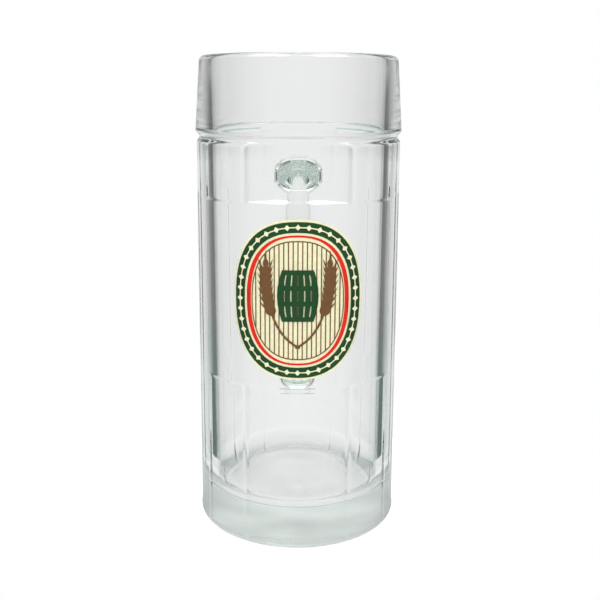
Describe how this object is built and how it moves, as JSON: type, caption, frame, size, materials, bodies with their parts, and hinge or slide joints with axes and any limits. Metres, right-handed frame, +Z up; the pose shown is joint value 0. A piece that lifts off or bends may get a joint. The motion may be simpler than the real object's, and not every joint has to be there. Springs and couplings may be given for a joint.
{
  "type": "beer mug",
  "caption": "Tall slim clear glass beer mug with a plain rim band, pressed panels, a thick base, a welded glass handle and a printed oval label.",
  "frame": {"origin": "middle of the flat underside, on the mug's axis", "axes": "+Z up along the mug's axis, the label faces -Y and the handle stands off towards +Y"},
  "size_m": [0.081, 0.1166, 0.186],
  "materials": {
    "clear_glass": "fire-polished pressed soda-lime glass with a faint green tint",
    "cream_print": "satin fired enamel print",
    "green_print": "satin fired enamel print",
    "red_print": "satin fired enamel print",
    "brown_print": "satin fired enamel print"
  },
  "bodies": {
    "root": {"mug_body": "clear_glass", "handle": "clear_glass", "label_ground": "cream_print", "label_border": "green_print", "label_ring": "red_print", "label_pinstripes": "brown_print", "label_beads": "cream_print", "label_barley": "brown_print", "label_barrel": "green_print"}
  },
  "joints": []
}
